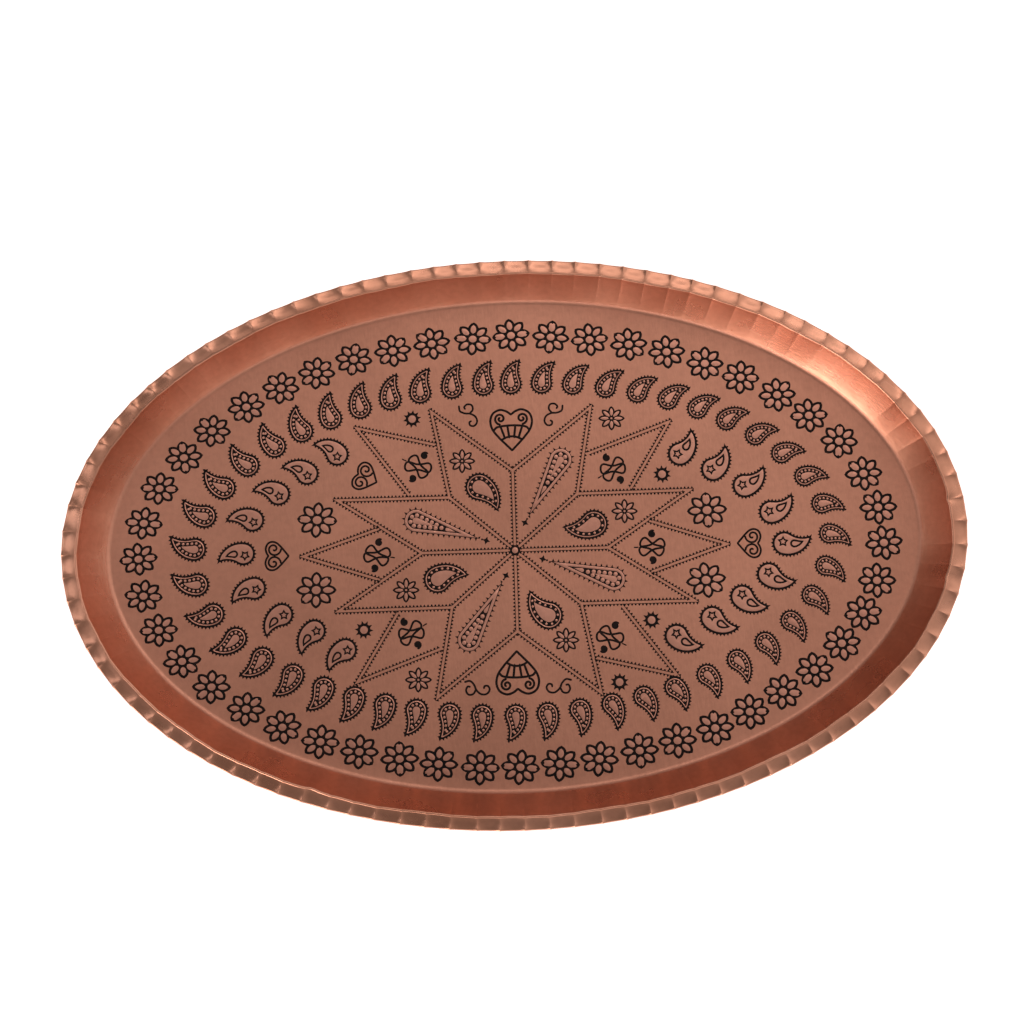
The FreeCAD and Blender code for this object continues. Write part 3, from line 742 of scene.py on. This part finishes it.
def weave(border):
    """Cuts the base along every outline and sorts the triangles.

    Returns the places, the height to add at each, the triangles, and each triangle's owner,
    which is None on bare copper, and its level.
    """
    points, faces, heights = [], [], []
    facts = [(None, 0)]

    def loop(outline, height):
        if clockwise(outline):
            outline = outline[::-1]
        first = len(points)
        points.extend(outline)
        heights.extend([height] * len(outline))
        faces.append(list(range(first, first + len(outline))))

    loop(border, 0.0)
    for piece, level, height, outline in pattern:
        loop(outline, height)
        facts.append((piece, level))
    for x in np.arange(-180.0, 181.0, NET_STEP):
        for y in np.arange(-108.0, 109.0, NET_STEP):
            if (x / 177.0) ** 2 + (y / 105.0) ** 2 < 1.0:
                points.append((x, y))
                heights.append(0.0)
    result = geometry.delaunay_2d_cdt([Vector(point) for point in points], [], faces, 1, 1e-4)
    places, _, triangles, sources, _, covers = result
    flat = np.array([(place.x, place.y) for place in places])
    raised = np.zeros(len(flat))
    for number, origin in enumerate(sources):
        if origin:
            flat[number] = points[origin[0]]
            raised[number] = heights[origin[0]]
    owners, levels = [], []
    for cover in covers:
        best = max(cover, key=lambda face: facts[face][1])
        piece, level = facts[best]
        owners.append(piece if level % 2 else None)
        levels.append(level)
    return flat, raised, np.array(triangles), owners, levels


def outer_edges(triangles):
    """Edges that only one of the triangles has, in that triangle's direction."""
    edges = {}
    for a, b, c in triangles:
        for first, second in ((a, b), (b, c), (c, a)):
            if (second, first) in edges:
                del edges[(second, first)]
            else:
                edges[(first, second)] = True
    return list(edges)


def make_object(name, vertices, faces, materials, indices=None):
    """A mesh object in metres from lists in millimetres."""
    mesh = bpy.data.meshes.new(name)
    mesh.from_pydata((np.array(vertices) * MM).tolist(), [], faces)
    for material in materials:
        mesh.materials.append(material)
    if indices is not None:
        mesh.polygons.foreach_set("material_index", indices)
    mesh.validate()
    piece = bpy.data.objects.new(name, mesh)
    bpy.context.collection.objects.link(piece)
    return piece


def finish_piece(piece, slot, *nodes):
    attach(piece, "root")
    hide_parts(*nodes)


def inside_field(face):
    """Whether a face of the base is inside the border of flowers."""
    middle = face.calc_center_median() / MM
    far = (middle.x / FIELD_HALF_X) ** 2 + (middle.y / FIELD_HALF_Y) ** 2
    return face.material_index < 2 and far < 1.0


def make_tray(net, rows, materials):
    """The copper sheet: base with its seats, rim and underside, as two halves of one closed skin.

    The halves meet in the bare band between the border flowers and the outer paisleys.
    """
    flat, raised, triangles, owners, levels = net
    count = len(flat)
    height = ground(flat[:, 0], flat[:, 1])
    top = np.column_stack([flat, height + raised])
    floor = np.column_stack([flat, height - SEAT_DEPTH])
    vertices = [top, floor]
    faces, kinds = [], []
    filled = []
    for triangle, owner, level in zip(triangles, owners, levels):
        a, b, c = (int(corner) for corner in triangle)
        if owner is None:
            faces.append((a, b, c))
            # Copper islands inside a punch take material 1, a lighter copper that is partly burnished
            # and partly a painted highlight.
            kinds.append(1 if level else 0)
        else:
            faces.append((a + count, b + count, c + count))
            kinds.append(0)
            filled.append((a, b, c))
    for first, second in outer_edges(filled):
        faces.append((second, first, first + count, second + count))
        kinds.append(0)
    rim = rows.reshape(-1, 3)
    base = 2 * count
    vertices.append(rim)
    for number in range(len(rows) - 1):
        for column in range(COLUMNS):
            nearby = (column + 1) % COLUMNS
            a = base + number * COLUMNS + column
            b = base + number * COLUMNS + nearby
            faces.append((a, b, b + COLUMNS, a + COLUMNS))
            kinds.append(0 if number < 4 else 2)
    hub = base + len(rim)
    vertices.append([[0.0, 0.0, 0.0]])
    last = base + (len(rows) - 1) * COLUMNS
    shares = (0.75, 0.5, 0.25)
    under = rows[-1]
    previous = [last + column for column in range(COLUMNS)]
    made = hub + 1
    for share, stride in zip(shares, (4, 8, 16)):
        kept = list(range(0, COLUMNS, stride))
        vertices.append(under[kept] * [share, share, 0.0])
        current = [made + number for number in range(len(kept))]
        made += len(kept)
        group = len(previous) // len(current)
        for number in range(len(current)):
            inner_a = current[number]
            inner_b = current[(number + 1) % len(current)]
            outer = [previous[(number * group + k) % len(previous)] for k in range(group + 1)]
            faces.append(tuple(outer + [inner_b, inner_a]))
            kinds.append(3)
        previous = current
    for number in range(len(previous)):
        faces.append((previous[number], previous[(number + 1) % len(previous)], hub))
        kinds.append(3)
    piece = make_object("copper_tray", np.vstack(vertices), faces, materials, kinds)
    skin = bmesh.new()
    skin.from_mesh(piece.data)
    loose = [vertex for vertex in skin.verts if not vertex.link_faces]
    bmesh.ops.delete(skin, geom=loose, context="VERTS")
    seam = [vertex for vertex in skin.verts if vertex.is_boundary]
    bmesh.ops.remove_doubles(skin, verts=seam, dist=0.002 * MM)
    bmesh.ops.recalc_face_normals(skin, faces=skin.faces)
    for name, in_field in (("copper_field", True), ("copper_border_and_rim", False)):
        part = skin.copy()
        spare = [face for face in part.faces if inside_field(face) != in_field]
        bmesh.ops.delete(part, geom=spare, context="FACES")
        mesh = bpy.data.meshes.new(name)
        part.to_mesh(mesh)
        part.free()
        for material in materials:
            mesh.materials.append(material)
        mesh.polygons.foreach_set("use_smooth", [True] * len(mesh.polygons))
        mesh.set_sharp_from_angle(angle=CREASE_ANGLE)
        half = bpy.data.objects.new(name, mesh)
        bpy.context.collection.objects.link(half)
        finish_piece(half, "copper_sheet", "tray_body")
    skin.free()
    whole = piece.data
    bpy.data.objects.remove(piece)
    bpy.data.meshes.remove(whole)


NODE_OF = {
    "flower_border": "flower_border_infill",
    "outer_paisleys": "outer_paisley_infill",
    "inner_paisleys": "inner_paisley_infill",
    "star_outline": "star_outline_infill",
    "star_rays": "star_ray_infill",
    "star_points": "star_point_infill",
    "centre_ring": "centre_ring_infill",
    "star_paisleys": "star_paisley_infill",
    "long_drops": "long_drop_infill",
    "blossoms": "blossom_infill",
    "knots": "knot_infill",
    "rosettes": "rosette_infill",
    "fan_hearts": "fan_heart_infill",
    "scroll_hearts": "scroll_heart_infill",
    "gear_rosettes": "gear_rosette_infill",
    "scrolls": "scroll_infill",
}


def make_infill(name, net, material):
    """One family of black infill: thin solids that fill the seats nearly to the top."""
    flat, _, triangles, owners, _ = net
    mine = [tuple(int(corner) for corner in triangle)
            for triangle, owner in zip(triangles, owners) if owner == name]
    used = sorted({corner for triangle in mine for corner in triangle})
    index = {corner: number for number, corner in enumerate(used)}
    spots = flat[used]
    height = ground(spots[:, 0], spots[:, 1])
    top = np.column_stack([spots, height - INK_DROP])
    low = np.column_stack([spots, height - SEAT_DEPTH])
    count = len(used)
    faces = []
    for a, b, c in mine:
        faces.append((index[a], index[b], index[c]))
        faces.append((index[c] + count, index[b] + count, index[a] + count))
    for first, second in outer_edges(mine):
        a, b = index[first], index[second]
        faces.append((b, a, a + count, b + count))
    piece = make_object(name + "_black", np.vstack([top, low]), faces, [material])
    finish_piece(piece, "black_infill", NODE_OF[name])


# ---- materials --------------------------------------------------------------------------


class Nodes:
    """A short way to write a node tree."""

    def __init__(self, name):
        self.material = bpy.data.materials.new(name)
        self.material.use_nodes = True
        self.tree = self.material.node_tree
        self.shader = self.tree.nodes["Principled BSDF"]
        self.place = self.add("ShaderNodeTexCoord").outputs["Object"]

    def add(self, kind, **settings):
        node = self.tree.nodes.new(kind)
        for key, value in settings.items():
            setattr(node, key, value)
        return node

    def link(self, output, target):
        self.tree.links.new(output, target)

    def noise(self, scale, detail=3.0, stretch=(1.0, 1.0, 1.0), rough=0.5):
        mapping = self.add("ShaderNodeMapping")
        mapping.inputs["Scale"].default_value = stretch
        self.link(self.place, mapping.inputs["Vector"])
        node = self.add("ShaderNodeTexNoise")
        node.inputs["Scale"].default_value = scale
        node.inputs["Detail"].default_value = detail
        node.inputs["Roughness"].default_value = rough
        self.link(mapping.outputs["Vector"], node.inputs["Vector"])
        return node.outputs["Fac"]

    def ramp(self, source, stops):
        node = self.add("ShaderNodeValToRGB")
        elements = node.color_ramp.elements
        while len(elements) < len(stops):
            elements.new(0.5)
        for element, (spot, colour) in zip(elements, stops):
            element.position = spot
            element.color = (*colour, 1.0)
        self.link(source, node.inputs["Fac"])
        return node.outputs["Color"]

    def spread(self, source, low, high):
        node = self.add("ShaderNodeMapRange")
        node.inputs["From Min"].default_value = 0.3
        node.inputs["From Max"].default_value = 0.7
        node.inputs["To Min"].default_value = low
        node.inputs["To Max"].default_value = high
        self.link(source, node.inputs["Value"])
        return node.outputs["Result"]

    def bump(self, source, strength, distance):
        node = self.add("ShaderNodeBump")
        node.inputs["Strength"].default_value = strength
        node.inputs["Distance"].default_value = distance
        self.link(source, node.inputs["Height"])
        self.link(node.outputs["Normal"], self.shader.inputs["Normal"])


def copper(name, dark, light, rough_low, rough_high, grain, grain_strength, stretch):
    """Brushed copper with slow changes of tone, a fine grain and faint stains."""
    nodes = Nodes(name)
    nodes.shader.inputs["Metallic"].default_value = 1.0
    slow = nodes.noise(14.0, 4.0)
    tone = nodes.ramp(slow, [(0.32, dark), (0.68, light)])
    speck = nodes.ramp(nodes.noise(420.0, 2.0), [(0.30, (0.80, 0.78, 0.78)), (0.62, (1, 1, 1))])
    stained = nodes.add("ShaderNodeMix", data_type="RGBA", blend_type="MULTIPLY")
    stained.inputs[0].default_value = 0.35
    nodes.link(tone, stained.inputs[6])
    nodes.link(speck, stained.inputs[7])
    nodes.link(stained.outputs[2], nodes.shader.inputs["Base Color"])
    nodes.link(nodes.spread(nodes.noise(30.0, 5.0), rough_low, rough_high),
               nodes.shader.inputs["Roughness"])
    nodes.bump(nodes.noise(grain, 3.0, stretch), grain_strength, 0.0004)
    return nodes.material


def black_lacquer():
    """Matt black lacquer with brown in its thin places."""
    nodes = Nodes("black lacquer")
    tone = nodes.ramp(nodes.noise(260.0, 4.0),
                      [(0.35, (0.004, 0.002, 0.002)), (0.75, (0.020, 0.008, 0.006))])
    nodes.link(tone, nodes.shader.inputs["Base Color"])
    nodes.link(nodes.spread(nodes.noise(300.0, 3.0), 0.42, 0.7), nodes.shader.inputs["Roughness"])
    nodes.shader.inputs["Specular IOR Level"].default_value = 0.15
    nodes.bump(nodes.noise(900.0, 3.0), 0.35, 0.0002)
    return nodes.material


def white_floor():
    nodes = Nodes("white sweep")
    tone = nodes.ramp(nodes.noise(3.0, 3.0), [(0.3, (0.90, 0.90, 0.90)), (0.7, (0.93, 0.93, 0.93))])
    nodes.link(tone, nodes.shader.inputs["Base Color"])
    nodes.shader.inputs["Roughness"].default_value = 0.9
    nodes.shader.inputs["Emission Color"].default_value = (1.0, 1.0, 1.0, 1.0)
    nodes.shader.inputs["Emission Strength"].default_value = 0.8
    return nodes.material


# ---- studio -----------------------------------------------------------------------------


def make_floor():
    half, level = 6.0, -0.0002
    mesh = bpy.data.meshes.new("floor")
    corners = [(-half, -half, level), (half, -half, level), (half, half, level), (-half, half, level)]
    mesh.from_pydata(corners, [], [(0, 1, 2, 3)])
    mesh.materials.append(white_floor())
    floor = bpy.data.objects.new("floor", mesh)
    bpy.context.collection.objects.link(floor)


def area_light(name, place, aim, width, depth, power, colour=(1.0, 1.0, 1.0)):
    light = bpy.data.lights.new(name, "AREA")
    light.shape = "RECTANGLE"
    light.size = width
    light.size_y = depth
    light.energy = power
    light.color = colour
    lamp = bpy.data.objects.new(name, light)
    lamp.location = place
    lamp.rotation_mode = "QUATERNION"
    lamp.rotation_quaternion = (Vector(aim) - Vector(place)).to_track_quat("-Z", "Y")
    bpy.context.collection.objects.link(lamp)


# Soft glows in the surroundings, added to an even one: direction, lowest cosine, sharpness,
# brightness.
EVEN_GLOW = 0.16
GLOWS = [
    ((0.45, 0.45, 0.77), -0.2, 6.0, 0.64),
    ((-0.60, -0.80, 0.16), 0.0, 22.0, 6.0),
    ((0.30, -0.92, 0.22), 0.0, 7.0, 0.9),
    ((0.95, 0.05, 0.28), 0.0, 8.0, 0.62),
    ((-0.95, 0.10, 0.30), 0.0, 10.0, 0.25),
]


def make_studio():
    world = bpy.data.worlds.new("studio")
    bpy.context.scene.world = world
    world.use_nodes = True
    tree = world.node_tree
    direction = tree.nodes.new("ShaderNodeTexCoord").outputs["Generated"]
    total = None
    for (x, y, z), lowest, sharpness, brightness in GLOWS:
        facing = tree.nodes.new("ShaderNodeVectorMath")
        facing.operation = "DOT_PRODUCT"
        facing.inputs[1].default_value = Vector((x, y, z)).normalized()
        share = tree.nodes.new("ShaderNodeMapRange")
        share.inputs["From Min"].default_value = lowest
        bent = tree.nodes.new("ShaderNodeMath")
        bent.operation = "POWER"
        bent.inputs[1].default_value = sharpness
        glow = tree.nodes.new("ShaderNodeMath")
        glow.operation = "MULTIPLY_ADD"
        glow.inputs[1].default_value = brightness
        glow.inputs[2].default_value = EVEN_GLOW
        tree.links.new(direction, facing.inputs[0])
        tree.links.new(facing.outputs["Value"], share.inputs["Value"])
        tree.links.new(share.outputs["Result"], bent.inputs[0])
        tree.links.new(bent.outputs["Value"], glow.inputs[0])
        if total is not None:
            tree.links.new(total, glow.inputs[2])
        total = glow.outputs["Value"]
    tree.links.new(total, tree.nodes["Background"].inputs["Strength"])
    tree.nodes["Background"].inputs["Color"].default_value = (1.0, 0.96, 0.91, 1.0)
    area_light("left box", (-1.2, 0.2, 1.5), (0.0, 0.0, 0.0), 0.6, 0.6, 1.3)
    area_light("back box", (0.2, 1.1, 1.7), (0.0, 0.0, 0.0), 1.6, 0.5, 3.0, (1.0, 0.95, 0.9))
    area_light("low back box", (0.2, 2.2, 0.9), (0.0, 0.0, 0.0), 2.4, 0.6, 1.6)
    area_light("low left box", (-2.2, 0.1, 0.7), (0.0, 0.0, 0.0), 1.2, 0.6, 1.6)


SENSOR_WIDTH = 36.0
CAMERA_DISTANCE = 0.6
CAMERA_ELEVATION = 82.57
CAMERA_TURN = -2.12
CAMERA_AIM = Vector((-0.0016, 0.0144, 0.0))
FOCAL_IN_IMAGE_WIDTHS = 1.297


def make_camera():
    turn, rise = math.radians(CAMERA_TURN), math.radians(CAMERA_ELEVATION)
    level = math.cos(rise)
    back = Vector((math.sin(turn) * level, -math.cos(turn) * level, math.sin(rise)))
    data = bpy.data.cameras.new("camera")
    data.sensor_width = SENSOR_WIDTH
    data.lens = SENSOR_WIDTH * FOCAL_IN_IMAGE_WIDTHS
    camera = bpy.data.objects.new("camera", data)
    camera.location = CAMERA_AIM + back * CAMERA_DISTANCE
    camera.rotation_mode = "QUATERNION"
    camera.rotation_quaternion = (-back).to_track_quat("-Z", "Y")
    bpy.context.collection.objects.link(camera)
    bpy.context.scene.camera = camera


def build():
    lay_rings()
    lay_star()
    lay_points()
    lay_middle()
    rows = rim_rows()
    net = weave(rows[0][:, :2])
    materials = [
        copper("brushed copper", (0.64, 0.285, 0.195), (0.75, 0.34, 0.235), 0.42, 0.50,
               900.0, 0.25, (1.0, 0.25, 1.0)),
        # Material 1, for the copper islands and ridges inside the punches, is lighter than the
        # ground: partly burnished metal, partly a painted highlight for the light their domed tops
        # and ridges catch.
        copper("burnished copper with painted highlight", (0.70, 0.32, 0.235), (0.82, 0.39, 0.29), 0.36, 0.44,
               700.0, 0.15, (1.0, 1.0, 1.0)),
        copper("polished rim copper", (0.70, 0.31, 0.20), (0.80, 0.38, 0.26), 0.25, 0.33,
               260.0, 0.12, (1.0, 1.0, 5.0)),
        copper("dull underside copper", (0.42, 0.17, 0.11), (0.60, 0.27, 0.18), 0.42, 0.55,
               200.0, 0.3, (1.0, 1.0, 1.0)),
    ]
    make_tray(net, rows, materials)
    lacquer = black_lacquer()
    for name in NODE_OF:
        make_infill(name, net, lacquer)


make_camera()
make_studio()
make_floor()
build()
bpy.context.scene.view_settings.view_transform = "Standard"
